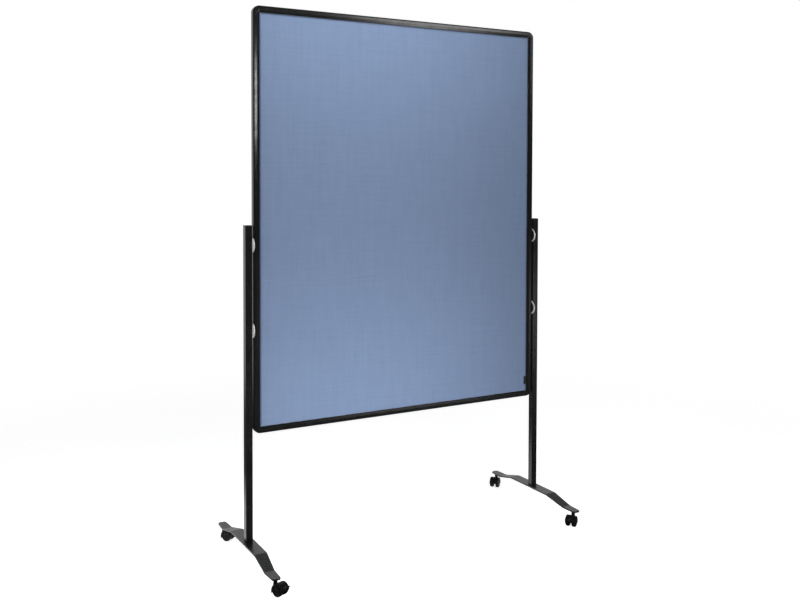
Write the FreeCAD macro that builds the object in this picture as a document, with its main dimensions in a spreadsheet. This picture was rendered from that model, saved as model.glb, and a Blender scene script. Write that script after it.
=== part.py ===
import FreeCAD, Part
import os
import re
import Sketcher
from FreeCAD import Placement, Rotation, Vector

# A presentation pinboard: a framed fabric board hooked between two posts on bent feet with casters.
# Lengths are millimetres and angles degrees. X runs along the board, the front faces -Y, the floor is Z = 0.

SIZES = {
    # How far the stand is set back, which puts the origin in the middle of its box
    "stand_set_back": 14,
    # Board and its frame
    "board_width": 1200,
    "board_height": 1500,
    "board_clearance": 462,
    "frame_face": 23,
    "frame_depth": 25,
    "frame_edge_radius": 5,
    "frame_flat": 9,
    "frame_bevel": 3.5,
    "frame_wall": 2,
    "slot_depth": 11,
    "lip_radius": 2,
    "tongue_length": 45,
    "tongue_clearance": 0.15,
    # Pin core, its fabrics and the tab
    "core_thickness": 13,
    "core_clearance": 0.5,
    "fabric_thickness": 1,
    "fabric_clearance": 0.3,
    "tab_width": 13,
    "tab_height": 33,
    "tab_thickness": 1.2,
    "tab_rise": 49.5,
    # Posts and their caps
    "post_size": 25,
    "post_wall": 1.5,
    "post_edge_radius": 1.5,
    "post_over": 69,
    "cap_height": 4,
    "cap_edge": 1,
    "cap_spigot": 18,
    "cap_clearance": 0.1,
    # Hooked discs between the posts and the frame
    "stud_rise": 366,
    "stud_pitch": 300,
    "disc_diameter": 55,
    "disc_thickness": 4,
    "disc_edge": 0.8,
    "pad_diameter": 47,
    "pad_thickness": 1,
    "neck_radius": 5,
    "head_radius": 8,
    "head_thickness": 4,
    "thread_radius": 4,
    "thread_clearance": 0.1,
    "hole_clearance": 0.2,
    "keyhole_drop": 17,
    "insert_length": 28,
    # Feet, their plugs and screws
    "foot_thickness": 6,
    "foot_width": 45,
    "foot_end_width": 30,
    "foot_end_offset": 4.5,
    "foot_knee_inner": 13,
    "foot_flat": 250,
    "foot_slope": 98,
    "foot_drop": 23.5,
    "foot_end": 68,
    "foot_end_radius": 9,
    "foot_bend_radius": 8,
    "plug_height": 30,
    "plug_clearance": 0.1,
    "screw_radius": 3,
    "screw_length": 22,
    "screw_spacing": 11,
    "screw_head_radius": 5,
    "screw_head_height": 3.3,
    # Casters
    "caster_height": 52,
    "caster_trail": 22,
    "stem_inset": 22,
    "stem_outward": 2,
    "stem_radius": 4,
    "stem_length": 26,
    "stem_end_gap": 0.5,
    "stem_cover": 1.5,
    "collar_radius": 7,
    "collar_height": 4,
    "thrust_gap": 0.2,
    "running_clearance": 0.05,
    "seat_clearance": 0.02,
    "boss_radius": 7,
    "pedestal_inset": 1,
    "web_thickness": 11,
    "hub_radius": 7,
    "hood_gap": 1.5,
    "hood_thickness": 2,
    "hood_edge": 1,
    "apron_clearance": 10,
    "axle_radius": 2.5,
    "wheel_diameter": 39,
    "wheel_width": 13,
    "wheel_gap": 0.5,
    "wheel_cover": 3,
    "wheel_recess": 5,
    "wheel_rim": 4,
    "tread_radius": 2.5,
    "dish_depth": 1,
    "hubcap_radius": 7,
    # Brake levers
    "pivot_back": 11.5,
    "pivot_rise": 8.5,
    "pivot_radius": 1.5,
    "barrel_radius": 3.2,
    "lever_angle": 15,
    "lever_reach": 19,
    "lever_arm_width": 5,
    "lever_arm_thickness": 4,
    "pedal_start": 12,
    "pedal_width": 32,
    "pedal_thickness": 3,
    "pedal_lip": 1.5,
    "slot_gap": 0.5,
    "slot_headroom": 8,
    # Way each caster trails from its stem, turned from +X
    "swivel_front_left": 294,
    "swivel_rear_left": 304,
    "swivel_front_right": 212,
    "swivel_rear_right": 220,
}

WORKED_OUT = {
    "board_middle": "board_clearance + board_height / 2",
    "board_top": "board_clearance + board_height",
    "half_depth": "frame_depth / 2",
    "half_core": "core_thickness / 2",
    "corner_radius": "frame_face + lip_radius",
    "slot_floor": "frame_face - slot_depth",
    "chamber_end": "slot_floor - frame_wall",
    "chamber_half": "half_depth - 2 * frame_wall",
    "core_edge": "slot_floor + core_clearance",
    "fabric_edge": "frame_face + fabric_clearance",
    "post_top": "board_clearance + stud_rise + stud_pitch + post_over",
    "post_inner": "board_width / 2 + pad_thickness + disc_thickness",
    "post_middle": "post_inner + post_size / 2",
    "post_bore": "post_size - 2 * post_wall",
    "foot_end_top": "caster_height + foot_thickness",
    "foot_top": "foot_end_top + foot_drop",
    "foot_bend": "foot_flat / 2",
    "foot_knee": "foot_bend + foot_slope",
    "foot_tip": "foot_knee + foot_end",
    "foot_set_back": "foot_thickness * (sqrt(foot_slope ^ 2 + foot_drop ^ 2) - foot_slope) / foot_drop",
    "stem_place": "foot_tip - stem_inset",
    "foot_end_outer": "foot_end_width / 2 + foot_end_offset",
    "foot_end_inner": "foot_end_width / 2 - foot_end_offset",
    "wheel_radius": "wheel_diameter / 2",
    "half_web": "web_thickness / 2",
    "wheel_inside": "half_web + wheel_gap",
    "wheel_outside": "wheel_inside + wheel_width",
    "hood_inside": "wheel_radius + hood_gap",
    "hood_outside": "hood_inside + hood_thickness",
    "boss_top": "caster_height - collar_height - thrust_gap",
    "boss_foot": "wheel_radius + sqrt(hood_inside ^ 2 - (caster_trail - boss_radius) ^ 2)",
    "stem_foot": "caster_height - collar_height - stem_length",
    "pivot_x": "caster_trail + pivot_back",
    "pivot_z": "wheel_radius + pivot_rise",
}

# Lengths closer than this count as the same
SAME = 1e-6
UP = Vector(0, 0, 1)
ALONG = {"x": (Vector(0, 1, 0), "90"), "y": (Vector(1, 0, 0), "270"), "z": (UP, "0")}
SIDES = {"left": ("-", "0"), "right": ("", "180")}
LEVELS = {"lower": "stud_rise", "upper": "stud_rise + stud_pitch"}
CASTERS = {
    "front_left": ("-(post_middle + stem_outward)", "-stem_place"),
    "rear_left": ("-(post_middle + stem_outward)", "stem_place"),
    "front_right": ("post_middle + stem_outward", "-stem_place"),
    "rear_right": ("post_middle + stem_outward", "stem_place"),
}

doc = FreeCAD.newDocument("presentation_pinboard")
sheet = doc.addObject("Spreadsheet::Sheet", "Sizes")
for row, (alias, size) in enumerate(SIZES.items(), start=1):
    sheet.set(f"A{row}", str(size))
    sheet.setAlias(f"A{row}", alias)
doc.recompute()


# Formulas and placing

def formula(text):
    """Spell a formula out in the sheet's cells, with each worked-out size in its own brackets."""
    def spell(match):
        word = match.group()
        if word in SIZES:
            return f"Sizes.{word}"
        if word in WORKED_OUT:
            return f"({formula(WORKED_OUT[word])})"
        return word
    return re.sub(r"[a-z_]+", spell, text)


def number(text):
    """Work a formula out."""
    return float(sheet.evalExpression(formula(text)))


def bind(thing, formulas):
    """Tie properties of an object to formulas."""
    for path, text in formulas.items():
        thing.setExpression(path, formula(text))


def place(thing, x="0", y="0", z="0", axis=UP, angle="0"):
    """Put an object at a worked-out place, turned about an axis through it."""
    thing.Placement = Placement(Vector(number(x), number(y), number(z)), Rotation(axis, number(angle)))
    bind(thing, {"Placement.Base.x": x, "Placement.Base.y": y, "Placement.Base.z": z})
    bind(thing, {"Placement.Rotation.Angle": angle})


def stand_at(body, x="0", y="0", z="0", axis=UP, angle="0"):
    """Put a finished piece where it belongs in the stand, which is set back from the origin."""
    place(body, x, f"{y} + stand_set_back", z, axis, angle)
    return body


def new_body(name):
    """Start a piece; its label is the node's name."""
    body = doc.addObject("PartDesign::Body", name)
    body.Label = name
    return body


# Sketches

def sketch_on(body, role, name, x="0", y="0", z="0", angle="0"):
    """Start a sketch on one of the body's origin planes, moved and turned within that plane's own axes."""
    sketch = body.newObject("Sketcher::SketchObject", f"{body.Name}_{name}")
    plane = next(feature for feature in body.Origin.OriginFeatures if feature.Role == role)
    sketch.AttachmentSupport = [(plane, "")]
    sketch.MapMode = "FlatFace"
    sketch.AttachmentOffset = Placement(Vector(number(x), number(y), number(z)), Rotation(UP, number(angle)))
    bind(sketch, {"AttachmentOffset.Base.x": x, "AttachmentOffset.Base.y": y, "AttachmentOffset.Base.z": z})
    bind(sketch, {"AttachmentOffset.Rotation.Angle": angle})
    return sketch


def dimension(sketch, constraint, text):
    """Add a dimension to a sketch and tie it to a formula."""
    index = sketch.addConstraint(constraint)
    sketch.renameConstraint(index, f"size_{index}")
    sketch.setExpression(f"Constraints.size_{index}", formula(text))


def locate(sketch, geometry, point, x, y):
    """Dimension a point of a sketch from its origin."""
    dimension(sketch, Sketcher.Constraint("DistanceX", -1, 1, geometry, point, number(x)), x)
    dimension(sketch, Sketcher.Constraint("DistanceY", -1, 1, geometry, point, number(y)), y)


def bulge(start, end, radius):
    """The arc of a radius that leaves start, turns left and reaches end."""
    chord = end - start
    rise = max(radius ** 2 - (chord.Length / 2) ** 2, 0) ** 0.5
    centre = (start + end) / 2 + UP.cross(chord).normalize() * rise
    on_arc = [(point - centre).normalize() * radius + centre for point in (start, (start + end) / 2, end)]
    return Part.Arc(*on_arc)


def outline(sketch, corners, arcs=None):
    """Draw a closed outline through corners, taken to the left round it; arcs gives radii of round sides."""
    arcs = arcs or {}
    points = [Vector(number(x), number(y), 0) for x, y in corners]
    first = sketch.GeometryCount
    for side, start in enumerate(points):
        end = points[(side + 1) % len(points)]
        if side in arcs:
            sketch.addGeometry(bulge(start, end, number(arcs[side])), False)
        else:
            sketch.addGeometry(Part.LineSegment(start, end), False)
    for side, (x, y) in enumerate(corners):
        following = first + (side + 1) % len(corners)
        sketch.addConstraint(Sketcher.Constraint("Coincident", first + side, 2, following, 1))
        locate(sketch, first + side, 1, x, y)
    for side, radius in arcs.items():
        dimension(sketch, Sketcher.Constraint("Radius", first + side, number(radius)), radius)


def rectangle(sketch, left, right, low, high):
    """Draw a rectangle from its four sides."""
    outline(sketch, [(left, low), (right, low), (right, high), (left, high)])


def rounded_rectangle(sketch, left, right, low, high, radius):
    """Draw a rectangle with four round corners of one radius."""
    corners = [
        (f"{left} + {radius}", low), (f"{right} - {radius}", low),
        (right, f"{low} + {radius}"), (right, f"{high} - {radius}"),
        (f"{right} - {radius}", high), (f"{left} + {radius}", high),
        (left, f"{high} - {radius}"), (left, f"{low} + {radius}"),
    ]
    outline(sketch, corners, {1: radius, 3: radius, 5: radius, 7: radius})


def circle(sketch, x, y, radius):
    """Draw a circle about a located centre."""
    centre = Vector(number(x), number(y), 0)
    index = sketch.addGeometry(Part.Circle(centre, UP, number(radius)), False)
    locate(sketch, index, 3, x, y)
    dimension(sketch, Sketcher.Constraint("Radius", index, number(radius)), radius)


# Features

def pad(body, sketch, length, symmetric=False, backwards=False):
    """Push a sketch out into a solid."""
    feature = body.newObject("PartDesign::Pad", f"{sketch.Name}_pad")
    feature.Profile = sketch
    feature.SideType = "Symmetric" if symmetric else "One side"
    feature.Reversed = backwards
    bind(feature, {"Length": length})
    return feature


def revolve(body, sketch, axis, angle="360", backwards=False):
    """Turn a sketch about one of its own axes into a solid."""
    feature = body.newObject("PartDesign::Revolution", f"{sketch.Name}_turned")
    feature.Profile = sketch
    feature.ReferenceAxis = (sketch, [axis])
    feature.Reversed = backwards
    bind(feature, {"Angle": angle})
    return feature


def cylinder(body, name, radius, length, x="0", y="0", z="0", along="z", cut=False):
    """Add or cut a cylinder that starts at a place and runs along an axis."""
    kind = "Subtractive" if cut else "Additive"
    feature = body.newObject(f"PartDesign::{kind}Cylinder", f"{body.Name}_{name}")
    bind(feature, {"Radius": radius, "Height": length})
    axis, angle = ALONG[along]
    place(feature, x, y, z, axis, angle)


def box(body, name, low, high, cut=False):
    """Add or cut a box between its lowest and highest corners."""
    kind = "Subtractive" if cut else "Additive"
    feature = body.newObject(f"PartDesign::{kind}Box", f"{body.Name}_{name}")
    spans = [f"({top}) - ({bottom})" for bottom, top in zip(low, high)]
    bind(feature, dict(zip(("Length", "Width", "Height"), spans)))
    place(feature, *low)


def fillet(body, name, radius, chosen):
    """Round the edges of the solid so far that a test chooses."""
    doc.recompute()
    base = body.Tip
    edges = [f"Edge{i}" for i, edge in enumerate(base.Shape.Edges, start=1) if chosen(edge)]
    feature = body.newObject("PartDesign::Fillet", f"{body.Name}_{name}")
    feature.Base = (base, edges)
    bind(feature, {"Radius": radius})


def group(name, bodies):
    """Gather like pieces into one node of separate solids."""
    compound = doc.addObject("Part::Compound", name)
    compound.Label = name
    compound.Links = bodies
    return compound


# Board and frame

def rail_outline(sketch, shift="0"):
    """Section of a rail from its outer edge inwards: round edges, flat bands, bevels and the core's slot."""
    half, bevel_start = "half_depth", "frame_edge_radius + frame_flat"
    section = [
        ("0", f"frame_edge_radius - {half}"), ("frame_edge_radius", f"-{half}"),
        (bevel_start, f"-{half}"), ("frame_face", f"frame_bevel - {half}"),
        ("frame_face", "-half_core"), ("slot_floor", "-half_core"),
        ("slot_floor", "half_core"), ("frame_face", "half_core"),
        ("frame_face", f"{half} - frame_bevel"), (bevel_start, half),
        ("frame_edge_radius", half), ("0", f"{half} - frame_edge_radius"),
    ]
    corners = [(f"{across} - {shift}", deep) for across, deep in section]
    outline(sketch, corners, {0: "frame_edge_radius", 10: "frame_edge_radius"})


def frame_rail(name, length, stud_holes=False):
    """A hollow rail standing along Z, with holes for the discs' threads in a side rail."""
    body = new_body(name)
    sketch = sketch_on(body, "XY_Plane", "section")
    rail_outline(sketch)
    rectangle(sketch, "frame_wall", "chamber_end", "-chamber_half", "chamber_half")
    pad(body, sketch, length, symmetric=True)
    if stud_holes:
        for level, rise in LEVELS.items():
            cylinder(body, f"{level}_hole", "thread_radius + hole_clearance", "2 * frame_wall",
                     x="-frame_wall", z=f"{rise} - board_height / 2", along="x", cut=True)
    return body


def make_rails():
    """The four rails between the corner pieces."""
    across, upright = "board_width - 2 * corner_radius", "board_height - 2 * corner_radius"
    left = frame_rail("frame_left", upright, stud_holes=True)
    stand_at(left, x="-board_width / 2", z="board_middle")
    right = frame_rail("frame_right", upright, stud_holes=True)
    stand_at(right, x="board_width / 2", z="board_middle", angle="180")
    top = frame_rail("frame_top", across)
    stand_at(top, z="board_top", axis=Vector(0, 1, 0), angle="90")
    bottom = frame_rail("frame_bottom", across)
    stand_at(bottom, z="board_clearance", axis=Vector(0, 1, 0), angle="270")
    return [left, right, top, bottom]


def corner_piece(name, x, z, angle):
    """A quarter turn of the rails' section, with a tongue for the chamber of each rail beside it."""
    body = new_body(name)
    turned = sketch_on(body, "XY_Plane", "section")
    rail_outline(turned, shift="corner_radius")
    revolve(body, turned, "V_Axis", "90")
    near, far = "frame_wall + tongue_clearance", "chamber_end - tongue_clearance"
    deep = "chamber_half - tongue_clearance"
    down = sketch_on(body, "XY_Plane", "down_tongue")
    rectangle(down, f"{near} - corner_radius", f"{far} - corner_radius", f"-({deep})", deep)
    pad(body, down, "tongue_length", backwards=True)
    side = sketch_on(body, "YZ_Plane", "side_tongue")
    rectangle(side, f"-({deep})", deep, f"corner_radius - ({far})", f"corner_radius - ({near})")
    pad(body, side, "tongue_length")
    return stand_at(body, x=x, z=z, axis=Vector(0, 1, 0), angle=angle)


def make_corners():
    """The four corner pieces, each a quarter turn on from the one before."""
    left, right = "corner_radius - board_width / 2", "board_width / 2 - corner_radius"
    low, high = "board_clearance + corner_radius", "board_top - corner_radius"
    places = {
        "corner_top_left": (left, high, "0"), "corner_top_right": (right, high, "90"),
        "corner_bottom_right": (right, low, "180"), "corner_bottom_left": (left, low, "270"),
    }
    return [corner_piece(name, *where) for name, where in places.items()]


def panel(name, edge, corner, thickness, y, symmetric=False, backwards=False):
    """A flat sheet with round corners, held in from the board's outer edge."""
    body = new_body(name)
    sketch = sketch_on(body, "XZ_Plane", "outline")
    wide, tall = f"(board_width / 2 - ({edge}))", f"(board_height / 2 - ({edge}))"
    rounded_rectangle(sketch, f"-{wide}", wide, f"-{tall}", tall, corner)
    pad(body, sketch, thickness, symmetric, backwards)
    return stand_at(body, y=y, z="board_middle")


def make_panels():
    """The pin core in the rails' slots, with a fabric on each side that fills the frame's opening."""
    core_corner = "(corner_radius - core_edge)"
    fabric_corner = "(corner_radius - fabric_edge)"
    core = panel("pin_core", "core_edge", core_corner, "core_thickness", "0", symmetric=True)
    front = panel("front_fabric", "fabric_edge", fabric_corner, "fabric_thickness", "-half_core")
    rear = panel("rear_fabric", "fabric_edge", fabric_corner, "fabric_thickness", "half_core", backwards=True)
    return [core, front, rear]


def make_tab():
    """A bare tab on the front fabric, at the lower right beside the frame."""
    body = new_body("label_tab")
    right, low = "board_width / 2 - fabric_edge", "board_clearance + tab_rise"
    rear = "-(half_core + fabric_thickness)"
    box(body, "plate", (f"{right} - tab_width", f"{rear} - tab_thickness", low),
        (right, rear, f"{low} + tab_height"))
    return stand_at(body)


# Posts

def post_section(sketch):
    """Outer outline of the square tube."""
    half = "post_size / 2"
    rounded_rectangle(sketch, f"-{half}", half, f"-{half}", half, "post_edge_radius")


def cut_keyhole(body, name, z):
    """Cut a keyhole through the wall on +X: a seat for the disc's neck, with its head's way in above."""
    start, depth = "post_size / 2 - 2 * post_wall", "3 * post_wall"
    slot, entry = "neck_radius + hole_clearance", "head_radius + hole_clearance"
    cylinder(body, f"{name}_seat", slot, depth, x=start, z=z, along="x", cut=True)
    cylinder(body, f"{name}_entry", entry, depth, x=start, z=f"{z} + keyhole_drop", along="x", cut=True)
    box(body, f"{name}_slot", (start, f"-({slot})", z),
        (f"{start} + {depth}", slot, f"{z} + keyhole_drop"), cut=True)


def post(side):
    """A square tube that stands on its foot, with two keyholes towards the board."""
    sign, turn = SIDES[side]
    body = new_body(f"post_{side}")
    sketch = sketch_on(body, "XY_Plane", "section")
    post_section(sketch)
    rectangle(sketch, "-post_bore / 2", "post_bore / 2", "-post_bore / 2", "post_bore / 2")
    pad(body, sketch, "post_top - cap_height - foot_top")
    for level, rise in LEVELS.items():
        cut_keyhole(body, level, f"board_clearance + {rise} - foot_top")
    return stand_at(body, x=f"{sign}post_middle", z="foot_top", angle=turn)


def post_cap(side):
    """A flat cap with eased upper edges and a spigot inside the tube."""
    sign, turn = SIDES[side]
    body = new_body(f"post_cap_{side}")
    sketch = sketch_on(body, "XY_Plane", "outline")
    post_section(sketch)
    pad(body, sketch, "cap_height")
    top = number("cap_height")
    fillet(body, "eased_top", "cap_edge", lambda edge: all(abs(v.Z - top) < SAME for v in edge.Vertexes))
    half = "(post_bore / 2 - cap_clearance)"
    box(body, "spigot", (f"-{half}", f"-{half}", "-cap_spigot"), (half, half, "0"))
    return stand_at(body, x=f"{sign}post_middle", z="post_top - cap_height", angle=turn)


def post_plug(side):
    """A block in the tube's lower end, tapped for the two foot screws."""
    sign, turn = SIDES[side]
    body = new_body(f"post_plug_{side}")
    half = "(post_bore / 2 - plug_clearance)"
    box(body, "block", (f"-{half}", f"-{half}", "0"), (half, half, "plug_height"))
    for end, way in (("front", "-"), ("rear", "")):
        cylinder(body, f"{end}_tap", "screw_radius + thread_clearance", "plug_height",
                 y=f"{way}screw_spacing / 2", cut=True)
    return stand_at(body, x=f"{sign}post_middle", z="foot_top", angle=turn)


# Hooked discs

def hooked_disc(side, level):
    """A turned disc: its headed neck hooks into the post, and its thread screws into the frame."""
    sign, turn = SIDES[side]
    body = new_body(f"hooked_disc_{level}_{side}")
    sketch = sketch_on(body, "XY_Plane", "half_section")
    rim, head_end = "disc_diameter / 2", "-(post_wall + head_thickness)"
    thread_end = "disc_thickness + pad_thickness + chamber_end"
    corners = [
        (head_end, "0"), (thread_end, "0"), (thread_end, "thread_radius"),
        ("disc_thickness", "thread_radius"), ("disc_thickness", f"{rim} - disc_edge"),
        ("disc_thickness - disc_edge", rim), ("disc_edge", rim), ("0", f"{rim} - disc_edge"),
        ("0", "neck_radius"), ("-post_wall", "neck_radius"),
        ("-post_wall", "head_radius"), (head_end, "head_radius"),
    ]
    outline(sketch, corners, {4: "disc_edge", 6: "disc_edge"})
    revolve(body, sketch, "H_Axis")
    return stand_at(body, x=f"{sign}post_inner", z=f"board_clearance + {LEVELS[level]}", angle=turn)


def friction_pad(side, level):
    """A round pad between a disc and the frame."""
    sign, turn = SIDES[side]
    body = new_body(f"friction_pad_{level}_{side}")
    sketch = sketch_on(body, "YZ_Plane", "ring")
    circle(sketch, "0", "0", "pad_diameter / 2")
    circle(sketch, "0", "0", "thread_radius + hole_clearance")
    pad(body, sketch, "pad_thickness")
    return stand_at(body, x=f"{sign}(post_inner - disc_thickness)",
                    z=f"board_clearance + {LEVELS[level]}", angle=turn)


def frame_insert(side, level):
    """A tapped block in a side rail's chamber that takes a disc's thread."""
    sign, turn = SIDES[side]
    body = new_body(f"insert_{level}_{side}")
    deep, tall = "(chamber_half - tongue_clearance)", "insert_length / 2"
    box(body, "block", ("frame_wall", f"-{deep}", f"-{tall}"), ("chamber_end", deep, tall))
    cylinder(body, "tap", "thread_radius + thread_clearance", "chamber_end", along="x", cut=True)
    return stand_at(body, x=f"{sign}board_width / 2", z=f"board_clearance + {LEVELS[level]}", angle=turn)


# Feet

def foot_bends(end_bends):
    """A test for edges across the foot at its outer bends, or at the bends of its inner radius."""
    high, low = number("foot_top"), number("foot_end_top")
    thickness, tip = number("foot_thickness"), number("foot_tip")
    heights = (high, low - thickness) if end_bends else (high - thickness, low)

    def chosen(edge):
        start, end = edge.Vertexes[0].Point, edge.Vertexes[-1].Point
        across = abs(start.y - end.y) < SAME and abs(start.z - end.z) < SAME
        inside = abs(start.y) < tip - SAME
        return across and inside and any(abs(start.z - height) < SAME for height in heights)
    return chosen


def foot_side(sketch):
    """Side of the bent bar: a raised middle, two slopes and two flat ends."""
    low, high = "foot_end_top", "foot_top"
    under = [
        ("-foot_tip", f"{low} - foot_thickness"), ("foot_set_back - foot_knee", f"{low} - foot_thickness"),
        ("foot_set_back - foot_bend", f"{high} - foot_thickness"),
        ("foot_bend - foot_set_back", f"{high} - foot_thickness"),
        ("foot_knee - foot_set_back", f"{low} - foot_thickness"), ("foot_tip", f"{low} - foot_thickness"),
    ]
    over = [
        ("foot_tip", low), ("foot_knee", low), ("foot_bend", high),
        ("-foot_bend", high), ("-foot_knee", low), ("-foot_tip", low),
    ]
    outline(sketch, under + over)


def foot_plan(sketch):
    """Plan of the bar: narrowing on its inner side along the slopes, then on both to round-cornered ends."""
    wide, radius, knee = "foot_width / 2", "foot_end_radius", "foot_knee_inner"
    inner, outer = "foot_end_inner", "foot_end_outer"
    corners = [
        (f"{radius} - {outer}", "-foot_tip"), (f"{inner} - {radius}", "-foot_tip"),
        (inner, f"{radius} - foot_tip"), (knee, "-foot_knee"), (wide, "-foot_bend"),
        (wide, "foot_bend"), (knee, "foot_knee"), (inner, f"foot_tip - {radius}"),
        (f"{inner} - {radius}", "foot_tip"), (f"{radius} - {outer}", "foot_tip"),
        (f"-{outer}", f"foot_tip - {radius}"), (f"-{wide}", "foot_knee"),
        (f"-{wide}", "-foot_knee"), (f"-{outer}", f"{radius} - foot_tip"),
    ]
    outline(sketch, corners, {1: radius, 7: radius, 9: radius, 13: radius})


def foot(side):
    """A bent flat bar, drilled through for the two foot screws and from below for the two caster stems."""
    sign, turn = SIDES[side]
    body = new_body(f"foot_{side}")
    profile = sketch_on(body, "YZ_Plane", "side")
    foot_side(profile)
    pad(body, profile, "foot_width", symmetric=True)
    fillet(body, "inner_bends", "foot_bend_radius", foot_bends(end_bends=False))
    fillet(body, "outer_bends", "foot_bend_radius + foot_thickness", foot_bends(end_bends=True))
    plan = sketch_on(body, "XY_Plane", "waste")
    rectangle(plan, "-foot_width", "foot_width", "-2 * foot_tip", "2 * foot_tip")
    foot_plan(plan)
    trim = body.newObject("PartDesign::Pocket", f"{body.Name}_trim")
    trim.Profile = plan
    trim.SideType = "Symmetric"
    trim.Type = "ThroughAll"
    for end, way in (("front", "-"), ("rear", "")):
        cylinder(body, f"{end}_screw_hole", "screw_radius + hole_clearance", "foot_top",
                 y=f"{way}screw_spacing / 2", cut=True)
        cylinder(body, f"{end}_stem_hole", "stem_radius + thread_clearance", "foot_end_top - stem_cover",
                 x="-stem_outward", y=f"{way}stem_place", cut=True)
    return stand_at(body, x=f"{sign}post_middle", angle=turn)


def foot_screw(side, end, way):
    """A screw up through the foot into the plug, its head under the foot."""
    sign, turn = SIDES[side]
    body = new_body(f"foot_screw_{end}_{side}")
    seat = "foot_top - foot_thickness"
    cylinder(body, "shank", "screw_radius", "screw_length", z=seat)
    cylinder(body, "head", "screw_head_radius", "screw_head_height", z=f"{seat} - screw_head_height")
    return stand_at(body, x=f"{sign}post_middle", y=f"{way}screw_spacing / 2", angle=turn)


# Casters, each built about its stem with the wheels trailing along +X

def caster_piece(name, corner):
    """Start a piece of a caster."""
    return new_body(f"{name}_{corner}")


def set_caster(body, corner):
    """Put a finished piece under its end of the foot, turned the way that this caster trails."""
    x, y = CASTERS[corner]
    return stand_at(body, x=x, y=y, angle=f"swivel_{corner}")


def axle_sketch(body, name, angle="0"):
    """A sketch with its origin at the middle of the axle and its upright axis along the axle."""
    return sketch_on(body, "XY_Plane", name, x="caster_trail", z="wheel_radius", angle=angle)


def caster_stem(corner):
    """A stem screwed up into the foot, with a collar under the foot and a pin for the housing."""
    body = caster_piece("caster_stem", corner)
    cylinder(body, "pin", "stem_radius", "stem_length", z="stem_foot")
    cylinder(body, "collar", "collar_radius", "collar_height", z="caster_height - collar_height")
    cylinder(body, "thread", "stem_radius", "foot_thickness - stem_cover - stem_end_gap", z="caster_height")
    return set_caster(body, corner)


def caster_housing(corner):
    """A hood over both wheels with a web between them, a boss for the stem and a slot for the lever."""
    body = caster_piece("caster_housing", corner)
    sketch = axle_sketch(body, "hood_section")
    corners = [
        ("0", "-half_web"), ("hood_inside", "-half_web"), ("hood_inside", "-wheel_outside"),
        ("hood_outside - hood_edge", "-wheel_outside"), ("hood_outside", "hood_edge - wheel_outside"),
        ("hood_outside", "wheel_outside - hood_edge"), ("hood_outside - hood_edge", "wheel_outside"),
        ("hood_inside", "wheel_outside"), ("hood_inside", "half_web"), ("0", "half_web"),
    ]
    outline(sketch, corners, {3: "hood_edge", 5: "hood_edge"})
    revolve(body, sketch, "V_Axis", "180", backwards=True)
    hood_front, web_foot = "caster_trail - hood_outside", "wheel_radius - hub_radius"
    box(body, "apron", (hood_front, "-wheel_outside", "apron_clearance"),
        ("caster_trail - hood_inside", "wheel_outside", "wheel_radius"))
    box(body, "front_web", (hood_front, "-half_web", web_foot), ("caster_trail", "half_web", "wheel_radius"))
    box(body, "pedestal", ("pedestal_inset - boss_radius", "-half_web", web_foot),
        ("boss_radius - pedestal_inset", "half_web", "boss_foot + pedestal_inset"))
    cylinder(body, "hub", "hub_radius", "web_thickness", x="caster_trail", y="-half_web", z="wheel_radius",
             along="y")
    cylinder(body, "boss", "boss_radius", "boss_top - boss_foot", z="boss_foot")
    cylinder(body, "stem_bore", "stem_radius + running_clearance", "boss_top - stem_foot + stem_end_gap",
             z="stem_foot - stem_end_gap", cut=True)
    cylinder(body, "axle_bore", "axle_radius + seat_clearance", "web_thickness", x="caster_trail",
             y="-half_web", z="wheel_radius", along="y", cut=True)
    slot_half, room = "lever_arm_width / 2 + slot_gap", "barrel_radius + slot_gap"
    box(body, "lever_slot", (f"pivot_x - ({room})", f"-({slot_half})", f"pivot_z - ({room})"),
        ("caster_trail + 2 * hood_outside", slot_half, "pivot_z + slot_headroom"), cut=True)
    cylinder(body, "pivot_bore", "pivot_radius + seat_clearance", "web_thickness", x="pivot_x",
             y="-half_web", z="pivot_z", along="y", cut=True)
    return set_caster(body, corner)


def caster_axle(corner):
    """An axle seated in the web, one wheel on each end."""
    body = caster_piece("caster_axle", corner)
    reach = "wheel_outside - wheel_cover - stem_end_gap"
    cylinder(body, "rod", "axle_radius", f"2 * ({reach})", x="caster_trail", y=f"-({reach})",
             z="wheel_radius", along="y")
    return set_caster(body, corner)


def caster_wheel(corner, hand, angle):
    """A wheel with a blind bore, a recess towards the web and a ring groove round its hub cap."""
    body = caster_piece(f"wheel_{hand}", corner)
    sketch = axle_sketch(body, "half_section", angle)
    bore, rim = "axle_radius + running_clearance", "wheel_radius - wheel_rim"
    inner, outer, dish = "wheel_inside", "wheel_outside", "wheel_outside - dish_depth"
    corners = [
        (bore, inner), ("hub_radius", inner), ("hub_radius", f"{inner} + wheel_recess"),
        (rim, f"{inner} + wheel_recess"), (rim, inner), ("wheel_radius - tread_radius", inner),
        ("wheel_radius", f"{inner} + tread_radius"), ("wheel_radius", f"{outer} - tread_radius"),
        ("wheel_radius - tread_radius", outer), (rim, outer), (f"{rim} - dish_depth", dish),
        ("hubcap_radius + dish_depth", dish), ("hubcap_radius", outer), ("0", outer),
        ("0", f"{outer} - wheel_cover"), (bore, f"{outer} - wheel_cover"),
    ]
    outline(sketch, corners, {5: "tread_radius", 7: "tread_radius"})
    revolve(body, sketch, "V_Axis")
    return set_caster(body, corner)


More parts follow.
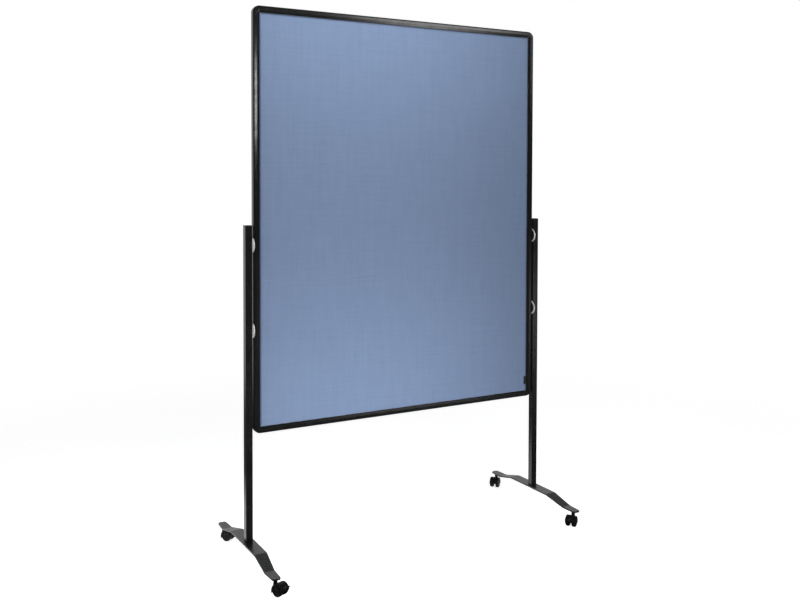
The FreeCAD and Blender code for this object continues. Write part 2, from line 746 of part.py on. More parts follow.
def brake_lever(corner):
    """A lever on its barrel, with a wide pedal outside the hood and a raised lip at its tip."""
    body = caster_piece("brake_lever", corner)
    across = {"x": "pivot_x", "y": "pivot_z", "angle": "lever_angle"}
    arm = sketch_on(body, "XZ_Plane", "arm", **across)
    half_arm, half_pedal = "lever_arm_thickness / 2", "pedal_thickness / 2"
    rectangle(arm, "0", "lever_reach", f"-{half_arm}", half_arm)
    pad(body, arm, "lever_arm_width", symmetric=True)
    pedal = sketch_on(body, "XZ_Plane", "pedal", **across)
    tread = "lever_reach - pedal_lip"
    corners = [
        ("pedal_start", f"-{half_pedal}"), ("lever_reach", f"-{half_pedal}"),
        ("lever_reach", f"{half_pedal} + pedal_lip"), (tread, f"{half_pedal} + pedal_lip"),
        (f"{tread} - pedal_lip", half_pedal), ("pedal_start", half_pedal),
    ]
    outline(pedal, corners)
    pad(body, pedal, "pedal_width", symmetric=True)
    cylinder(body, "barrel", "barrel_radius", "lever_arm_width", x="pivot_x", y="-lever_arm_width / 2",
             z="pivot_z", along="y")
    cylinder(body, "bore", "pivot_radius + running_clearance", "lever_arm_width", x="pivot_x",
             y="-lever_arm_width / 2", z="pivot_z", along="y", cut=True)
    return set_caster(body, corner)


def lever_pin(corner):
    """The pin that the lever turns on, seated in the web's two cheeks."""
    body = caster_piece("lever_pin", corner)
    cylinder(body, "rod", "pivot_radius", "web_thickness", x="pivot_x", y="-half_web", z="pivot_z", along="y")
    return set_caster(body, corner)


def make_caster(corner):
    """All the pieces of one caster."""
    return [
        caster_stem(corner), caster_housing(corner), caster_axle(corner),
        caster_wheel(corner, "far", "0"), caster_wheel(corner, "near", "180"),
        brake_lever(corner), lever_pin(corner),
    ]


# The whole object

def make_side(side):
    """A post with its foot, cap, plug, discs and pads."""
    nodes = [post(side), post_cap(side), post_plug(side), foot(side)]
    for level in LEVELS:
        nodes += [hooked_disc(side, level), friction_pad(side, level)]
    return nodes


def make_all():
    """Every node of the object."""
    nodes = make_rails() + make_corners() + make_panels() + [make_tab()]
    for side in SIDES:
        nodes += make_side(side)
    inserts = [frame_insert(side, level) for side in SIDES for level in LEVELS]
    screws = [foot_screw(side, *end) for side in SIDES for end in (("front", "-"), ("rear", ""))]
    nodes += [group("frame_inserts", inserts), group("foot_screws", screws)]
    for corner in CASTERS:
        nodes += make_caster(corner)
    return nodes


def check(nodes):
    """Stop if any object failed or any node's shape is missing or faulty."""
    failed = [thing.Name for thing in doc.Objects if {"Invalid", "Error"} & set(thing.State)]
    faulty = [node.Label for node in nodes if node.Shape.isNull() or not node.Shape.isValid()]
    if failed or faulty:
        raise RuntimeError(f"failed objects {failed}, faulty shapes {faulty}")


nodes = make_all()
doc.recompute()
check(nodes)
os.makedirs("parts", exist_ok=True)
for node in nodes:
    node.Shape.exportStep(f"parts/{node.Label}.step")
print(len(nodes), "nodes written")
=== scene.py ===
import math

import bpy
import numpy as np
from mathutils import Matrix, Vector


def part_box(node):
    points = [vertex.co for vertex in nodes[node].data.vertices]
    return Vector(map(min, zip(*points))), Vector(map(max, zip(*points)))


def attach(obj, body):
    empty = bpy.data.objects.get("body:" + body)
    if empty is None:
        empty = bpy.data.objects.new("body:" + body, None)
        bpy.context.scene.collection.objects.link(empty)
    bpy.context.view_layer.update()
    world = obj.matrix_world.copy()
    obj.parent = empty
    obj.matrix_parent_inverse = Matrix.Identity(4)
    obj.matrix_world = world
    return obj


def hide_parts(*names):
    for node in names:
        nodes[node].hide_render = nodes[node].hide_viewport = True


# A presentation pinboard: stretched fabric in a black frame between two posts on bent feet with casters.
# Lengths are metres, X runs along the board, the front faces -Y and the floor is Z = 0.

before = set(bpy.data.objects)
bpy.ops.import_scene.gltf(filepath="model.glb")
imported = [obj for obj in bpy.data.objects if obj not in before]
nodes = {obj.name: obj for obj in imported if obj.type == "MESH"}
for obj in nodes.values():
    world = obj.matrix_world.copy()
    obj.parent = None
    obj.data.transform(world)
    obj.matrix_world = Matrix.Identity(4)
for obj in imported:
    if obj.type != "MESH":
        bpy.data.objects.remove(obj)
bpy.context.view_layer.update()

MM = 0.001

# The picture's frame in pixels, and the camera that sees the board as the photograph does, in degrees
PICTURE_WIDTH = 800
PICTURE_HEIGHT = 600
FOCAL_PIXELS = 940.05
VIEW_CENTRE = (433.57, 205.64)
CAMERA_PLACE = (-1.7128, -3.1394, 1.3724)
CAMERA_YAW = 30.354
CAMERA_DOWN = 1.826
CAMERA_ROLL = 0.2056
SENSOR_WIDTH = 36.0

# The fabrics: how they sit in the frame's lip
FABRIC_THICKNESS = 0.8 * MM
FABRIC_CORNER = 1.7 * MM
EDGE_DIP = 0.7 * MM
EDGE_REACH = 3.5 * MM
FABRIC_COLUMNS = 150
FABRIC_ROWS = 190
EDGE_CROWDING = 2.4

# The slow ripple in the stretched cloth: its depth, its waves in radians per metre, and the rim it fades in
RIPPLE_DEPTH = 0.12 * MM
RIPPLE_ACROSS = 9.0
RIPPLE_LEAN = 2.0
RIPPLE_UP = 6.5
RIPPLE_SWAY = 1.3
RIPPLE_SWAY_UP = 4.0
RIPPLE_RIM = 20 * EDGE_REACH

# The weave, on the sheet's own map: sizes of its parts, and how far they are drawn out along each axis
SHEET_MAP = "cut"
THREAD_SIZE = 1.6 * MM
WARP_DRAW = (1, 60, 1)
WEFT_DRAW = (45, 1, 1)
STREAK_SIZE = 8 * MM
STREAK_DRAW = (1, 50, 1)
BAR_DRAW = (30, 1, 1)
SLUB_SIZE = 30 * MM
SLUB_DRAW = (1, 4, 1)
CROSSING_SCALE = 240.0
WEAVE_STRENGTH = 0.30
WEAVE_DEPTH = 0.12 * MM
WEAVE_ROUGH = (0.86, 0.96)
WEAVE_MIRRORING = 0.15
SHEEN_WEIGHT = 0.05
SHEEN_ROUGH = 0.5
# Painted shade in the cloth's colour beside the frame's lip, at both sides and the top: its reach and its
# darkest level
SHADE_REACH = 8 * MM
SHADE_LEVEL = 0.15

# Colours, as linear red, green and blue
FABRIC_DARK = (0.147, 0.200, 0.311, 1)
FABRIC_LIGHT = (0.191, 0.260, 0.404, 1)
COAT_DARK = (0.0040, 0.0040, 0.0043, 1)
COAT_LIGHT = (0.0070, 0.0070, 0.0074, 1)
COAT_EDGE = (0.016, 0.016, 0.017, 1)
FOOT_DARK = (0.0050, 0.0050, 0.0053, 1)
FOOT_LIGHT = (0.0090, 0.0090, 0.0094, 1)
MOULDED_DARK = (0.0035, 0.0035, 0.0037, 1)
MOULDED_LIGHT = (0.0070, 0.0070, 0.0073, 1)
CASTER_DARK = (0.0015, 0.0015, 0.0016, 1)
CASTER_LIGHT = (0.0040, 0.0040, 0.0042, 1)
# The casters' edge colour is a painted highlight
CASTER_EDGE_HIGHLIGHT = (0.16, 0.16, 0.163, 1)
SILVER_DARK = (0.70, 0.70, 0.71, 1)
SILVER_LIGHT = (0.86, 0.86, 0.87, 1)
STEEL_DARK = (0.33, 0.33, 0.34, 1)
STEEL_LIGHT = (0.52, 0.52, 0.53, 1)
RUBBER_DARK = (0.006, 0.006, 0.006, 1)
RUBBER_LIGHT = (0.014, 0.014, 0.014, 1)
CORE_DARK = (0.22, 0.15, 0.085, 1)
CORE_LIGHT = (0.36, 0.26, 0.16, 1)
FLOOR_DARK = (0.86, 0.86, 0.86, 1)
FLOOR_LIGHT = (0.90, 0.90, 0.90, 1)
WHITE = (1, 1, 1, 1)

# Roughness of each finish, from its glossiest to its dullest places
FRAME_ROUGH = (0.17, 0.24)
POST_ROUGH = (0.20, 0.28)
FOOT_ROUGH = (0.22, 0.46)
CAP_ROUGH = (0.38, 0.50)
HOOD_ROUGH = (0.36, 0.50)
WHEEL_ROUGH = (0.42, 0.58)
TAB_ROUGH = (0.50, 0.62)
RUBBER_ROUGH = (0.7, 0.85)
STEEL_ROUGH = (0.30, 0.42)
CORE_ROUGH = (0.85, 0.95)
TURNED_ROUGH = (0.42, 0.54)

# Grain of each finish: the size and depth of its bumps, and the size of its clouds of colour
FRAME_GRAIN = 1.1 * MM
POST_GRAIN = 1.0 * MM
COAT_DEPTH = 0.03 * MM
COAT_CLOUD = 60 * MM
FOOT_GRAIN = 3.5 * MM
FOOT_DEPTH = 1.2 * MM
FOOT_CLOUD = 9 * MM
MOULDED_GRAIN = 0.5 * MM
MOULDED_DEPTH = 0.04 * MM
MOULDED_CLOUD = 20 * MM
RUBBER_GRAIN = 0.6 * MM
RUBBER_DEPTH = 0.05 * MM
RUBBER_CLOUD = 60 * MM
STEEL_GRAIN = 0.5 * MM
STEEL_DEPTH = 0.02 * MM
STEEL_CLOUD = 12 * MM
CORE_GRAIN = 1.5 * MM
CORE_DEPTH = 0.2 * MM
CORE_CLOUD = 8 * MM

# Strength of all grain, and how many times finer the clouds of gloss are than those of colour
GRAIN_STRENGTH = 0.35
GLOSS_FINENESS = 3

# Lightened edges are wear on the coats, and a painted highlight on the casters
# Edges: how wide the mark reaches, and the cosines of the bend at which it is full and at which it ends
COAT_EDGE_RADIUS = 0.6 * MM
MOULDED_EDGE_RADIUS = 0.4 * MM
WEAR_AND_HIGHLIGHT_BEND = (0.90, 0.995)
BEVEL_SAMPLES = 4

# How strongly a moulding mirrors: plainly, or less where the casters' plastic is dull
PLAIN_MIRRORING = 0.5
HOOD_MIRRORING = 0.20
WHEEL_MIRRORING = 0.15

# The discs' turned face: fine rings that waver a little, in a satin coat that is part metal
RING_SCALE = 260.0
RING_WAVER = 0.6
RING_DETAIL = 1.0
RING_STRENGTH = 0.25
RING_DEPTH = 0.02 * MM
TURNED_CLOUD = 9 * MM
TURNED_METALLIC = 0.4

# Noise: its detail, and the middle of its range, in which most of it lies
PLAIN_DETAIL = 2.0
RICH_DETAIL = 3.0
FULL_DETAIL = 4.0
NOISE_LOW = 0.3
NOISE_HIGH = 0.7

# Places of the sockets for colours on a Mix node
MIX_FACTOR = 0
MIX_FIRST = 6
MIX_SECOND = 7
MIX_RESULT = 2

# Room light: a white wall stands behind the board, and the studio is dark in front of it and overhead
ROOM_BRIGHT_WAY = (-0.2, 0.98, 0.0)
ROOM_DIM = 0.05
ROOM_BRIGHT = 1.0
ROOM_FADE = (-0.1, 0.55)
OVERHEAD_LEVEL = 0.3
OVERHEAD_FADE = (0.20, 0.75)

# The floor: its points, its glow where it is seen, how far out it turns white, and how it is mirrored
FLOOR_RADIUS = 12.0
FLOOR_HUB = 1 * MM
FLOOR_RINGS = 12
FLOOR_SPOKES = 64
FLOOR_CLOUD = 0.4
FLOOR_LIFT = 0.72
FLOOR_FADE = (1.2, 3.2)
FLOOR_FRONT = (-0.25, 0.15)
FLOOR_IN_GLOSS = 0.06
FLOOR_GLOSS_FADE = (0.6, 0.95)
FLOOR_GLOSS_RETURN = (2.0, 4.2)

# Lamps: place, aim, width, height and power in watts; cones in degrees
REAR_BOX = ((0.0, 2.4, 1.45), (0.0, 0.0, 1.25), 1.6, 0.9, 6.0)
UPPER_STRIP = ((-0.20, -0.9, 2.20), (-0.20, 0.0, 1.85), 1.2, 0.3, 13.0)
LOWER_STRIP = ((-0.20, -0.9, 0.35), (-0.20, 0.0, 0.65), 1.2, 0.2, 11.8)
LEFT_BOX = ((-2.1, -0.3, 1.2), (0.0, 0.0, 1.2), 0.6, 1.9, 22.5)
RIGHT_BOX = ((1.62, -2.5, 2.33), (1.62, 0.0, 2.33), 1.2, 0.75, 16.5)
SLIM_BOX = ((-0.16, -1.25, 1.74), (-0.16, 0.0, 1.74), 0.125, 0.37, 2.35)
LOW_CARD = ((1.76, -2.5, 0.40), (1.76, 0.0, 0.40), 0.8, 0.4, 7.2)
OPEN_CONE = 180.0
REAR_CONE = 60.0

# The start of the discs' names, which goes before their level
DISC_START = "hooked_disc_"


# Node helpers

def feed(tree, socket, value):
    """Link a socket to another one, or set it to a constant."""
    if isinstance(value, bpy.types.NodeSocket):
        tree.links.new(value, socket)
    else:
        socket.default_value = value


def add(tree, kind, inputs=None, **settings):
    """Add a shader node with its settings and its inputs, which are constants or sockets."""
    node = tree.nodes.new(f"ShaderNode{kind}")
    for name, value in settings.items():
        setattr(node, name, value)
    for name, value in (inputs or {}).items():
        feed(tree, node.inputs[name], value)
    return node


def calculated(tree, operation, *values):
    """The result of a calculation on one or two values."""
    return add(tree, "Math", dict(enumerate(values)), operation=operation).outputs["Value"]


def average(tree, values):
    """The mean of several values."""
    total = values[0]
    for value in values[1:]:
        total = calculated(tree, "ADD", total, value)
    return calculated(tree, "DIVIDE", total, len(values))


def spread(tree, value, low, high, from_low=NOISE_LOW, from_high=NOISE_HIGH):
    """Stretch a value from one range over another, held at both ends."""
    inputs = {"Value": value, "From Min": from_low, "From Max": from_high, "To Min": low, "To Max": high}
    return add(tree, "MapRange", inputs).outputs["Result"]


def scaled(tree, colour, factor):
    """A colour, darkened by a factor."""
    inputs = {0: colour, "Scale": factor}
    return add(tree, "VectorMath", inputs, operation="SCALE").outputs["Vector"]


def blended(tree, factor, first, second):
    """Blend from a first to a second colour."""
    blend = add(tree, "Mix", data_type="RGBA")
    feed(tree, blend.inputs[MIX_FACTOR], factor)
    feed(tree, blend.inputs[MIX_FIRST], first)
    feed(tree, blend.inputs[MIX_SECOND], second)
    return blend.outputs[MIX_RESULT]


def two_colours(tree, value, dark, light):
    """Blend from a dark to a light colour as a value goes over the middle of its range."""
    return blended(tree, spread(tree, value, 0.0, 1.0), dark, light)


def object_place(tree):
    """The place on the piece, in metres."""
    return add(tree, "TexCoord").outputs["Object"]


def noise(tree, place, size, detail=PLAIN_DETAIL, stretch=(1, 1, 1)):
    """Cloudy noise from 0 to 1 with features of about a size, stretched along the axes."""
    scale = tuple(1 / (size * times) for times in stretch)
    mapped = add(tree, "Mapping", {"Vector": place, "Scale": scale})
    inputs = {"Vector": mapped.outputs["Vector"], "Scale": 1.0, "Detail": detail}
    return add(tree, "TexNoise", inputs).outputs["Fac"]


def worn_and_highlit_edges(tree, colour, edge_colour, radius):
    """Lighten a colour where the surface bends within a radius, as wear on the coats and as a painted
    highlight on the casters; also give the softened normal.
    """
    soft = add(tree, "Bevel", {"Radius": radius}, samples=BEVEL_SAMPLES).outputs["Normal"]
    true_normal = add(tree, "NewGeometry").outputs["Normal"]
    agree = add(tree, "VectorMath", {0: soft, 1: true_normal}, operation="DOT_PRODUCT").outputs["Value"]
    wear_and_highlight = spread(tree, agree, 1.0, 0.0, *WEAR_AND_HIGHLIGHT_BEND)
    return blended(tree, wear_and_highlight, colour, edge_colour), soft


def raise_surface(tree, shader, height, strength, depth, normal=None):
    """Raise bumps of a height and depth on the surface, over a softened normal where one is given."""
    inputs = {"Strength": strength, "Distance": depth, "Height": height}
    if normal is not None:
        inputs["Normal"] = normal
    feed(tree, shader.inputs["Normal"], add(tree, "Bump", inputs).outputs["Normal"])


def glowing(tree, strength):
    """A white glow."""
    return add(tree, "Emission", {"Color": WHITE, "Strength": strength}).outputs["Emission"]


# Finishes

def start_finish(name):
    """A new material, its node tree and its shader."""
    finish = bpy.data.materials.new(name)
    finish.use_nodes = True
    tree = finish.node_tree
    return finish, tree, tree.nodes["Principled BSDF"]


def solid_finish(name, dark, light, rough, grain, depth, cloud, edge=None, edge_radius=COAT_EDGE_RADIUS):
    """A coat or moulding: cloudy colour and gloss, a fine grain, and edges that may show a little wear, or a
    painted highlight on the casters.
    """
    finish, tree, shader = start_finish(name)
    place = object_place(tree)
    colour = two_colours(tree, noise(tree, place, cloud, FULL_DETAIL), dark, light)
    normal = None
    if edge is not None:
        colour, normal = worn_and_highlit_edges(tree, colour, edge, edge_radius)
    gloss = noise(tree, place, cloud / GLOSS_FINENESS, RICH_DETAIL)
    height = noise(tree, place, grain, RICH_DETAIL)
    feed(tree, shader.inputs["Base Color"], colour)
    feed(tree, shader.inputs["Roughness"], spread(tree, gloss, *rough))
    raise_surface(tree, shader, height, GRAIN_STRENGTH, depth, normal)
    return finish, shader


def coated_finish(name, dark, light, rough, grain, depth=COAT_DEPTH, cloud=COAT_CLOUD):
    """Black coat on metal: semi-gloss, with a skin like that of a fruit."""
    return solid_finish(name, dark, light, rough, grain, depth, cloud, COAT_EDGE)[0]


def moulded_finish(name, dark, light, rough, edge=COAT_EDGE, mirroring=PLAIN_MIRRORING):
    """Black moulded plastic with a fine spark-etched skin, and with plain or less mirroring."""
    skin = (MOULDED_GRAIN, MOULDED_DEPTH, MOULDED_CLOUD)
    finish, shader = solid_finish(name, dark, light, rough, *skin, edge, MOULDED_EDGE_RADIUS)
    shader.inputs["Specular IOR Level"].default_value = mirroring
    return finish


def steel_finish(name):
    """Bare steel with a fine grain."""
    skin = (STEEL_GRAIN, STEEL_DEPTH, STEEL_CLOUD)
    finish, shader = solid_finish(name, STEEL_DARK, STEEL_LIGHT, STEEL_ROUGH, *skin)
    shader.inputs["Metallic"].default_value = 1.0
    return finish


def rubber_finish(name):
    """Dark rubber with a dull skin."""
    skin = (RUBBER_GRAIN, RUBBER_DEPTH, RUBBER_CLOUD)
    return solid_finish(name, RUBBER_DARK, RUBBER_LIGHT, RUBBER_ROUGH, *skin)[0]


def fibre_finish(name):
    """Soft brown fibre board."""
    skin = (CORE_GRAIN, CORE_DEPTH, CORE_CLOUD)
    return solid_finish(name, CORE_DARK, CORE_LIGHT, CORE_ROUGH, *skin)[0]


def turned_finish(name, centre):
    """Satin turned metal: fine rings about an axis along X through a centre."""
    finish, tree, shader = start_finish(name)
    place = object_place(tree)
    shifted = add(tree, "Mapping", {"Vector": place, "Location": tuple(-c for c in centre)})
    ring_inputs = {"Vector": shifted.outputs["Vector"], "Scale": RING_SCALE}
    ring_inputs.update({"Distortion": RING_WAVER, "Detail": RING_DETAIL})
    rings = add(tree, "TexWave", ring_inputs, wave_type="RINGS", rings_direction="X").outputs["Fac"]
    cloud = noise(tree, place, TURNED_CLOUD, RICH_DETAIL)
    feed(tree, shader.inputs["Base Color"], two_colours(tree, cloud, SILVER_DARK, SILVER_LIGHT))
    feed(tree, shader.inputs["Roughness"], spread(tree, cloud, *TURNED_ROUGH))
    raise_surface(tree, shader, rings, RING_STRENGTH, RING_DEPTH)
    shader.inputs["Metallic"].default_value = TURNED_METALLIC
    return finish


def painted_lip_shade(tree, place, node):
    """1 over the sheet of a node, going down to a painted shade beside the frame's lip at both sides and the
    top.
    """
    low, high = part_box(node)
    half_width = float(high[0] - low[0]) / 2
    half_height = float(high[2] - low[2]) / 2
    parts = add(tree, "SeparateXYZ", {"Vector": place}).outputs
    across = calculated(tree, "ABSOLUTE", parts["X"])
    to_side = calculated(tree, "SUBTRACT", half_width, across)
    to_top = calculated(tree, "SUBTRACT", half_height, parts["Y"])
    nearest = calculated(tree, "MINIMUM", to_side, to_top)
    return spread(tree, nearest, SHADE_LEVEL, 1.0, 0.0, SHADE_REACH)


def weave_height(tree, place, warp, weft):
    """Height of a plain weave: two sets of bands that cross, plus the unevenness of the threads."""
    inputs = {"Vector": place, "Scale": CROSSING_SCALE}
    across = add(tree, "TexWave", inputs, bands_direction="X").outputs["Fac"]
    along = add(tree, "TexWave", inputs, bands_direction="Y").outputs["Fac"]
    crossings = calculated(tree, "MULTIPLY", across, along)
    threads = calculated(tree, "ADD", warp, weft)
    return calculated(tree, "ADD", crossings, threads)


def woven_finish(name, node):
    """Grey-blue plain weave on the sheet's own map: uneven threads, long streaks, cross bars and slubs."""
    finish, tree, shader = start_finish(name)
    place = add(tree, "UVMap", uv_map=SHEET_MAP).outputs["UV"]
    warp = noise(tree, place, THREAD_SIZE, stretch=WARP_DRAW)
    weft = noise(tree, place, THREAD_SIZE, stretch=WEFT_DRAW)
    streaks = noise(tree, place, STREAK_SIZE, stretch=STREAK_DRAW)
    bars = noise(tree, place, STREAK_SIZE, stretch=BAR_DRAW)
    slubs = noise(tree, place, SLUB_SIZE, RICH_DETAIL, SLUB_DRAW)
    tone = average(tree, [warp, weft, streaks, bars, slubs])
    dyed = two_colours(tree, tone, FABRIC_DARK, FABRIC_LIGHT)
    # The cloth's colour is darkened by a painted shade beside the frame's lip
    feed(tree, shader.inputs["Base Color"], scaled(tree, dyed, painted_lip_shade(tree, place, node)))
    feed(tree, shader.inputs["Roughness"], spread(tree, slubs, *WEAVE_ROUGH))
    raise_surface(tree, shader, weave_height(tree, place, warp, weft), WEAVE_STRENGTH, WEAVE_DEPTH)
    shader.inputs["Specular IOR Level"].default_value = WEAVE_MIRRORING
    shader.inputs["Sheen Weight"].default_value = SHEEN_WEIGHT
    shader.inputs["Sheen Roughness"].default_value = SHEEN_ROUGH
    return finish


# Surfaces

def show(thing):
    """Put an object into the scene."""
    bpy.context.scene.collection.objects.link(thing)


def grid_faces(rows, columns):
    """Corner numbers of the quads of a grid whose points run row by row."""
    start = np.arange(rows - 1)[:, None] * columns + np.arange(columns - 1)[None, :]
    quads = np.stack([start, start + 1, start + columns + 1, start + columns], axis=-1)
    return quads.reshape(-1, 4)


def surface(name, points, faces, finish):
    """A mesh object at the origin, from an array of points and one of quads."""
    mesh = bpy.data.meshes.new(name)
    mesh.from_pydata(points.reshape(-1, 3).tolist(), [], faces.tolist())
    mesh.polygons.foreach_set("use_smooth", np.ones(len(mesh.polygons), dtype=bool))
    mesh.materials.append(finish)
    piece = bpy.data.objects.new(name, mesh)
    show(piece)
    return piece


def write_map(piece, flat):
    """Give a mesh the sheet's map, which holds each point's place on the flat sheet, in metres."""
    mesh = piece.data
    corner_points = np.empty(len(mesh.loops), dtype=np.int32)
    mesh.loops.foreach_get("vertex_index", corner_points)
    layer = mesh.uv_layers.new(name=SHEET_MAP)
    layer.data.foreach_set("uv", flat.reshape(-1, 2)[corner_points].astype(np.float32).ravel())


def crowded(count):
    """Values from -1 to 1 that lie closer towards both ends: a hyperbolic tangent, scaled to reach them."""
    return np.tanh(EDGE_CROWDING * np.linspace(-1, 1, count)) / math.tanh(EDGE_CROWDING)


def fabric_outline(half):
    """Places across and up over a sheet of half sizes, and their distances to the nearest edge.

    A row near an end is shorter by the corner's circle.
    """
    up = half[2] * crowded(FABRIC_ROWS)[:, None]
    into_corner = np.clip(np.abs(up) - (half[2] - FABRIC_CORNER), 0, FABRIC_CORNER)
    reach = half[0] - FABRIC_CORNER + np.sqrt(FABRIC_CORNER ** 2 - into_corner ** 2)
    across = reach * crowded(FABRIC_COLUMNS)[None, :]
    up = up + np.zeros_like(across)
    to_edge = np.minimum(reach - np.abs(across), half[2] - np.abs(up))
    return across, up, to_edge


def fabric_depth(across, up, to_edge):
    """How far the cloth lies behind its foremost plane.

    A slow, shallow ripple of two crossing waves dies out towards the edges, and the cloth dips by an
    exponential of the distance to the nearest edge, where it turns in behind the frame's lip.
    """
    sway = RIPPLE_SWAY * np.sin(up * RIPPLE_SWAY_UP)
    ripple = np.sin(across * RIPPLE_ACROSS + sway) * np.cos(up * RIPPLE_UP + across * RIPPLE_LEAN)
    inner = np.clip(to_edge / RIPPLE_RIM, 0, 1)
    return EDGE_DIP * np.exp(-to_edge / EDGE_REACH) + RIPPLE_DEPTH * (1 + ripple) * inner / 2


def stretched_fabric(name, node, side, finish):
    """A stretched sheet over a CAD fabric's outline, on the front for side -1 and on the rear for 1."""
    low, high = (np.array(corner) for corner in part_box(node))
    middle = (low + high) / 2
    half = (high - low) / 2
    across, up, to_edge = fabric_outline(half)
    depth = fabric_depth(across, up, to_edge)
    face = high[1] if side > 0 else low[1]
    points = np.stack([middle[0] + across, face - side * depth, middle[2] + up], axis=-1)
    faces = grid_faces(FABRIC_ROWS, FABRIC_COLUMNS)
    piece = surface(name, points, faces if side < 0 else faces[:, ::-1], finish)
    write_map(piece, np.stack([across, up], axis=-1))
    wall = piece.modifiers.new("thickness", "SOLIDIFY")
    wall.thickness = FABRIC_THICKNESS
    wall.offset = -1.0
    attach(piece, "stand")
    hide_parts(node)


# Lights, floor and camera

def softbox(name, place, aim, width, height, power, in_gloss=False, on_matt=True, cone=OPEN_CONE):
    """A rectangular lamp that faces a point, and shows in gloss or lights matt surfaces as told.

    Its light leaves within a cone of so many degrees.
    """
    lamp = bpy.data.lights.new(name, "AREA")
    lamp.shape = "RECTANGLE"
    lamp.size = width
    lamp.size_y = height
    lamp.energy = power
    lamp.spread = math.radians(cone)
    holder = bpy.data.objects.new(name, lamp)
    holder.location = place
    holder.rotation_euler = (Vector(aim) - Vector(place)).to_track_quat("-Z", "Y").to_euler()
    holder.visible_camera = False
    holder.visible_glossy = in_gloss
    holder.visible_diffuse = on_matt
    show(holder)


def seen_directly(tree):
    """1 for the camera's rays, and 1 for those that come by way of gloss or glass; 0 for the rest."""
    path = add(tree, "LightPath").outputs
    shiny_ray = calculated(tree, "MAXIMUM", path["Is Glossy Ray"], path["Is Transmission Ray"])
    return path["Is Camera Ray"], shiny_ray


def white_room():
    """A surround that the camera sees white, and that lights the board from the wall behind it."""
    world = bpy.data.worlds.new("room")
    world.use_nodes = True
    bpy.context.scene.world = world
    tree = world.node_tree
    tree.nodes.clear()
    way = add(tree, "TexCoord").outputs["Generated"]
    inputs = {0: way, 1: ROOM_BRIGHT_WAY}
    towards = add(tree, "VectorMath", inputs, operation="DOT_PRODUCT").outputs["Value"]
    wall = spread(tree, towards, ROOM_DIM, ROOM_BRIGHT, *ROOM_FADE)
    height = add(tree, "SeparateXYZ", {"Vector": way}).outputs["Z"]
    overhead = spread(tree, height, 1.0, OVERHEAD_LEVEL, *OVERHEAD_FADE)
    level = calculated(tree, "MULTIPLY", wall, overhead)
    camera_ray = add(tree, "LightPath").outputs["Is Camera Ray"]
    strength = calculated(tree, "MAXIMUM", level, camera_ray)
    shader = add(tree, "Background", {"Color": WHITE, "Strength": strength})
    feed(tree, add(tree, "OutputWorld").inputs["Surface"], shader.outputs["Background"])


def floor_shown(tree, place, camera_ray, shiny_ray):
    """How much of the floor's colour a ray meets: all of it for the camera, and less for other rays.

    They meet little in front of the board, and gloss also mirrors a dark band across the floor behind it.
    """
    depth = add(tree, "SeparateXYZ", {"Vector": place}).outputs["Y"]
    behind = spread(tree, depth, ROOM_DIM, 1.0, *FLOOR_FRONT)
    close = spread(tree, depth, 1.0, FLOOR_IN_GLOSS, *FLOOR_GLOSS_FADE)
    far = spread(tree, depth, 0.0, 1.0, *FLOOR_GLOSS_RETURN)
    in_gloss = calculated(tree, "MAXIMUM", close, far)
    dimmed = spread(tree, shiny_ray, 1.0, in_gloss, 0.0, 1.0)
    indirect = calculated(tree, "MULTIPLY", behind, dimmed)
    return calculated(tree, "MAXIMUM", indirect, camera_ray)


def floor_finish():
    """Pale floor that keeps the shadow near the board, glows where it is seen, and turns white far out."""
    finish = bpy.data.materials.new("pale_floor")
    finish.use_nodes = True
    tree = finish.node_tree
    tree.nodes.clear()
    place = object_place(tree)
    camera_ray, shiny_ray = seen_directly(tree)
    shown = floor_shown(tree, place, camera_ray, shiny_ray)
    pale = two_colours(tree, noise(tree, place, FLOOR_CLOUD), FLOOR_DARK, FLOOR_LIGHT)
    matt = add(tree, "BsdfDiffuse", {"Color": scaled(tree, pale, shown)}).outputs["BSDF"]
    either = calculated(tree, "MAXIMUM", camera_ray, shiny_ray)
    seen = calculated(tree, "MULTIPLY", either, shown)
    glow = glowing(tree, calculated(tree, "MULTIPLY", seen, FLOOR_LIFT))
    near = add(tree, "AddShader", {0: matt, 1: glow}).outputs["Shader"]
    distance = add(tree, "VectorMath", {0: place}, operation="LENGTH").outputs["Value"]
    away = spread(tree, distance, 0.0, 1.0, *FLOOR_FADE)
    factor = calculated(tree, "MULTIPLY", away, seen)
    mixed = add(tree, "MixShader", {0: factor, 1: near, 2: glowing(tree, 1.0)}).outputs["Shader"]
    feed(tree, add(tree, "OutputMaterial").inputs["Surface"], mixed)
    return finish


def pale_floor():
    """A round floor: rings of points about the origin, from the middle out to its rim."""
    radius = np.linspace(FLOOR_HUB, FLOOR_RADIUS, FLOOR_RINGS)[:, None]
    turn = np.linspace(0, 2 * np.pi, FLOOR_SPOKES)[None, :]
    flat = np.zeros((FLOOR_RINGS, FLOOR_SPOKES))
    points = np.stack([radius * np.cos(turn), radius * np.sin(turn), flat], axis=-1)
    faces = grid_faces(FLOOR_RINGS, FLOOR_SPOKES)[:, ::-1]
    surface("floor", points, faces, floor_finish())


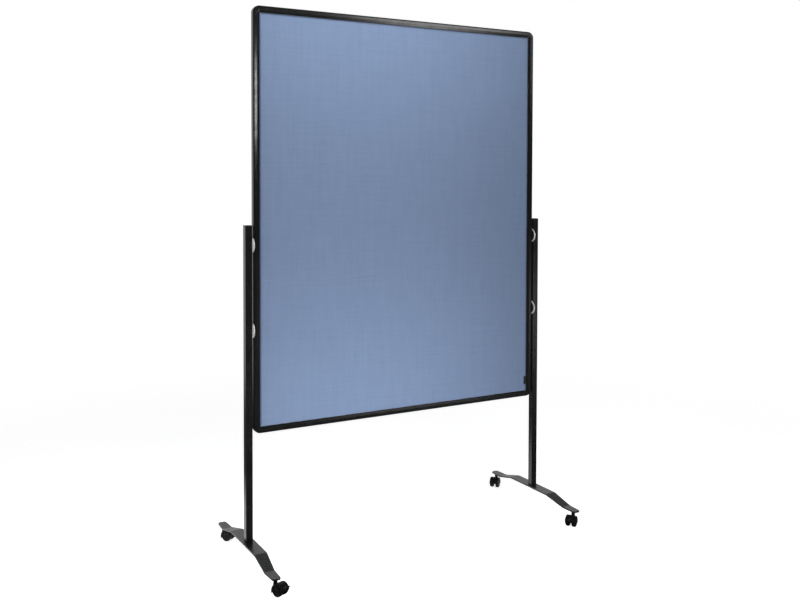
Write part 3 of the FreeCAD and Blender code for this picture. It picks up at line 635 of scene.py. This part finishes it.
def photograph_camera():
    """The camera, from its place, its turn and the picture's off-centre view."""
    yaw, down, roll = (math.radians(angle) for angle in (CAMERA_YAW, CAMERA_DOWN, CAMERA_ROLL))
    ahead = Vector((math.sin(yaw) * math.cos(down), math.cos(yaw) * math.cos(down), -math.sin(down)))
    level = Vector((math.cos(yaw), -math.sin(yaw), 0))
    upright = level.cross(ahead)
    right = level * math.cos(roll) + upright * math.sin(roll)
    up = upright * math.cos(roll) - level * math.sin(roll)
    lens = bpy.data.cameras.new("camera")
    lens.sensor_width = SENSOR_WIDTH
    lens.lens = FOCAL_PIXELS * SENSOR_WIDTH / PICTURE_WIDTH
    lens.shift_x = (PICTURE_WIDTH / 2 - VIEW_CENTRE[0]) / PICTURE_WIDTH
    lens.shift_y = (VIEW_CENTRE[1] - PICTURE_HEIGHT / 2) / PICTURE_WIDTH
    holder = bpy.data.objects.new("camera", lens)
    turned = Matrix((right, up, -ahead)).transposed()
    holder.matrix_world = Matrix.Translation(CAMERA_PLACE) @ turned.to_4x4()
    show(holder)
    bpy.context.scene.camera = holder


# The finishes, and the CAD nodes that wear them

FRAME_COAT = coated_finish("coated_frame", COAT_DARK, COAT_LIGHT, FRAME_ROUGH, FRAME_GRAIN)
POST_COAT = coated_finish("coated_post", COAT_DARK, COAT_LIGHT, POST_ROUGH, POST_GRAIN)
FOOT_SKIN = (FOOT_GRAIN, FOOT_DEPTH, FOOT_CLOUD)
FOOT_COAT = coated_finish("coated_foot", FOOT_DARK, FOOT_LIGHT, FOOT_ROUGH, *FOOT_SKIN)
CAP = moulded_finish("moulded_cap", MOULDED_DARK, MOULDED_LIGHT, CAP_ROUGH)
# The casters' edges are lightened with a painted highlight
HOOD = moulded_finish("moulded_hood", CASTER_DARK, CASTER_LIGHT, HOOD_ROUGH, CASTER_EDGE_HIGHLIGHT, HOOD_MIRRORING)
WHEEL = moulded_finish("moulded_wheel", CASTER_DARK, CASTER_LIGHT, WHEEL_ROUGH, CASTER_EDGE_HIGHLIGHT, WHEEL_MIRRORING)
TAB = moulded_finish("plain_tab", MOULDED_DARK, MOULDED_LIGHT, TAB_ROUGH)
RUBBER = rubber_finish("rubber_pad")
STEEL = steel_finish("plain_steel")
CORE = fibre_finish("fibre_core")
WOVEN = woven_finish("woven_fabric", "front_fabric")

# The first start that fits a node's name counts, so longer starts come before shorter ones
FINISH_BY_START = {
    "frame_inserts": STEEL,
    "frame_": FRAME_COAT,
    "corner_": FRAME_COAT,
    "pin_core": CORE,
    "front_fabric": WOVEN,
    "rear_fabric": WOVEN,
    "label_tab": TAB,
    "post_cap": CAP,
    "post_plug": CAP,
    "post_": POST_COAT,
    "friction_pad": RUBBER,
    "foot_screws": STEEL,
    "foot_": FOOT_COAT,
    "caster_stem": HOOD,
    "caster_housing": HOOD,
    "caster_axle": STEEL,
    "wheel_": WHEEL,
    "brake_lever": HOOD,
    "lever_pin": STEEL,
}


def middle_of(node):
    """Middle of a node's box."""
    low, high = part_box(node)
    return (low + high) / 2


def disc_finish(name, made):
    """The turned finish of a disc's level, made once for both sides, with its rings about their axis."""
    level = name.removeprefix(DISC_START).split("_")[0]
    if level not in made:
        made[level] = turned_finish(f"turned_disc_{level}", middle_of(name))
    return made[level]


def finish_nodes():
    """Give every CAD node its finish, by the start of its name."""
    turned = {}
    for name, piece in nodes.items():
        if name.startswith(DISC_START):
            finish = disc_finish(name, turned)
        else:
            finish = next(f for start, f in FINISH_BY_START.items() if name.startswith(start))
        piece.data.materials.clear()
        piece.data.materials.append(finish)


# The whole picture

finish_nodes()
stretched_fabric("front_cloth", "front_fabric", -1, WOVEN)
stretched_fabric("rear_cloth", "rear_fabric", 1, WOVEN)
white_room()
pale_floor()
softbox("upper_strip", *UPPER_STRIP)
softbox("lower_strip", *LOWER_STRIP)
softbox("left_box", *LEFT_BOX)
softbox("rear_box", *REAR_BOX, cone=REAR_CONE)
softbox("right_box", *RIGHT_BOX, in_gloss=True)
softbox("slim_box", *SLIM_BOX, in_gloss=True, on_matt=False)
softbox("low_card", *LOW_CARD, in_gloss=True, on_matt=False)
photograph_camera()
bpy.context.scene.view_settings.view_transform = "Standard"
